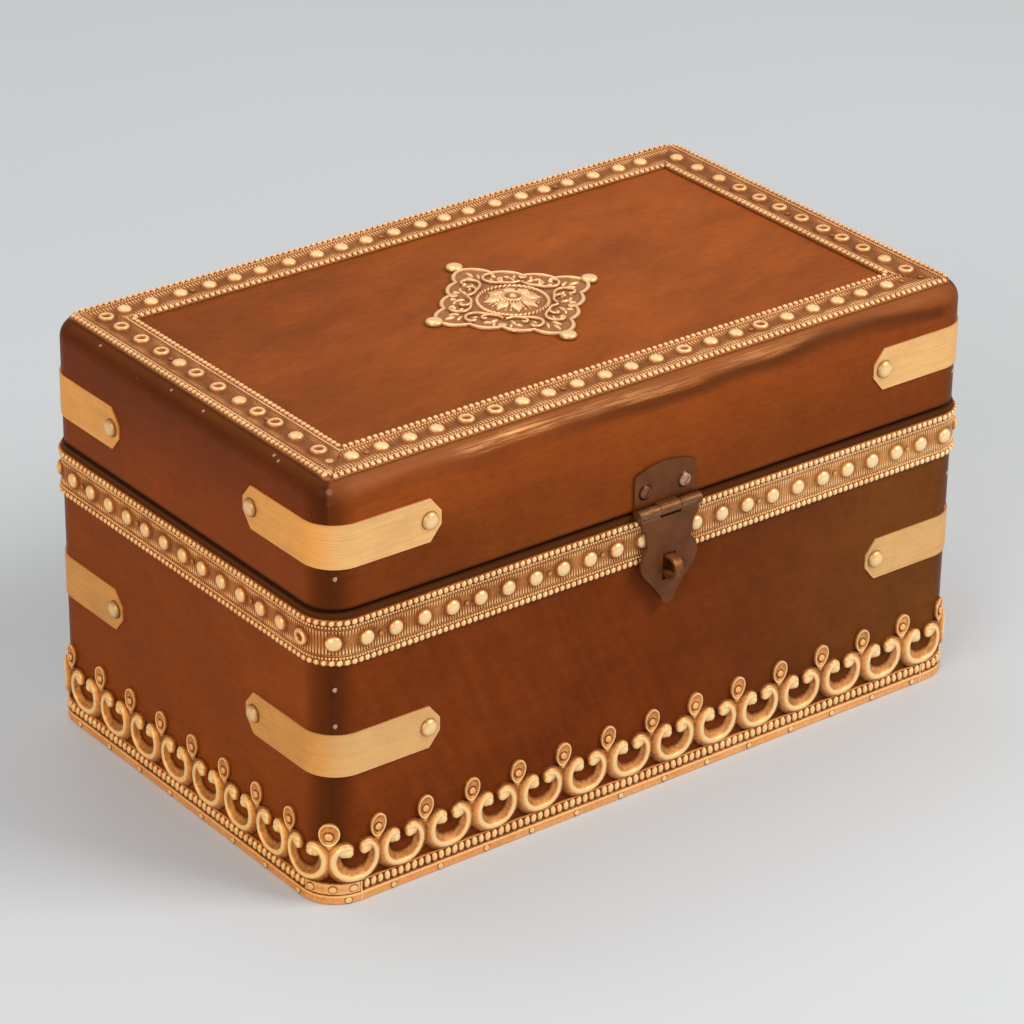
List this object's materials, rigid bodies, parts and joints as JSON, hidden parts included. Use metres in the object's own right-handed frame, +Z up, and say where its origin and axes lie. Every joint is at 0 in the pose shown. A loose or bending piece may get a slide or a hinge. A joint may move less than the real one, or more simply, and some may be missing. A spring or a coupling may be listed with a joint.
{
  "type": "brass bound wooden chest",
  "caption": "Small hardwood chest with a hinged flat lid, embossed brass strips, corner straps, a lid medallion, a pierced scroll border and a hasp over a staple.",
  "frame": {"origin": "centre of the underside of the wooden base", "axes": "+X along the front from the left end to the right end, +Y from the front to the back, +Z up"},
  "size_m": [0.2594, 0.165, 0.1441],
  "materials": {
    "hardwood": "polished",
    "embossed_brass": "antique embossed",
    "strap_brass": "brushed",
    "nail_brass": "worn polished",
    "pin_brass": "dull",
    "bronzed_brass": "dark bronzed",
    "hinge_brass": "dull",
    "screw_steel": "worn"
  },
  "bodies": {
    "base": {"base_front_board": "hardwood", "base_back_board": "hardwood", "base_left_board": "hardwood", "base_right_board": "hardwood", "base_bottom_board": "hardwood", "base_rim_band": "embossed_brass", "base_scroll_front": "embossed_brass", "base_scroll_right": "embossed_brass", "base_scroll_back": "embossed_brass", "base_scroll_left": "embossed_brass", "base_strap_front_left": "strap_brass", "base_strap_front_right": "strap_brass", "base_strap_back_left": "strap_brass", "base_strap_back_right": "strap_brass", "base_strap_nails": "nail_brass", "base_scroll_pins": "pin_brass", "base_corner_brads": "pin_brass", "rim_band_pins": "pin_brass", "hasp_staple": "bronzed_brass", "hinge_base_screws": "screw_steel", "hinge_left_base_leaf": "hinge_brass", "hinge_left_pin": "hinge_brass", "hinge_right_base_leaf": "hinge_brass", "hinge_right_pin": "hinge_brass"},
    "lid": {"lid_front_rail": "hardwood", "lid_back_rail": "hardwood", "lid_left_rail": "hardwood", "lid_right_rail": "hardwood", "lid_top_panel": "hardwood", "lid_top_strip_front": "embossed_brass", "lid_top_strip_back": "embossed_brass", "lid_top_strip_left": "embossed_brass", "lid_top_strip_right": "embossed_brass", "lid_medallion": "embossed_brass", "lid_strap_front_left": "strap_brass", "lid_strap_front_right": "strap_brass", "lid_strap_back_left": "strap_brass", "lid_strap_back_right": "strap_brass", "lid_strap_nails": "nail_brass", "lid_corner_brads": "pin_brass", "lid_top_strip_pins": "pin_brass", "medallion_nails": "nail_brass", "medallion_pins": "pin_brass", "hasp_lid_leaf": "bronzed_brass", "hasp_pin": "bronzed_brass", "hasp_screws": "screw_steel", "hinge_lid_screws": "screw_steel", "hinge_left_lid_leaf": "hinge_brass", "hinge_right_lid_leaf": "hinge_brass"},
    "hasp": {"hasp_plate": "bronzed_brass"}
  },
  "joints": [
    {"name": "lid_hinge", "type": "hinge", "parent": "base", "child": "lid", "pos_m": [0, 0.0782, 0.09955], "axis": [-1, 0, 0], "range_deg": [0, 180]},
    {"name": "hasp_hinge", "type": "hinge", "parent": "lid", "child": "hasp", "pos_m": [0, -0.0783, 0.09955], "axis": [-1, 0, 0], "range_deg": [0, 170]}
  ]
}
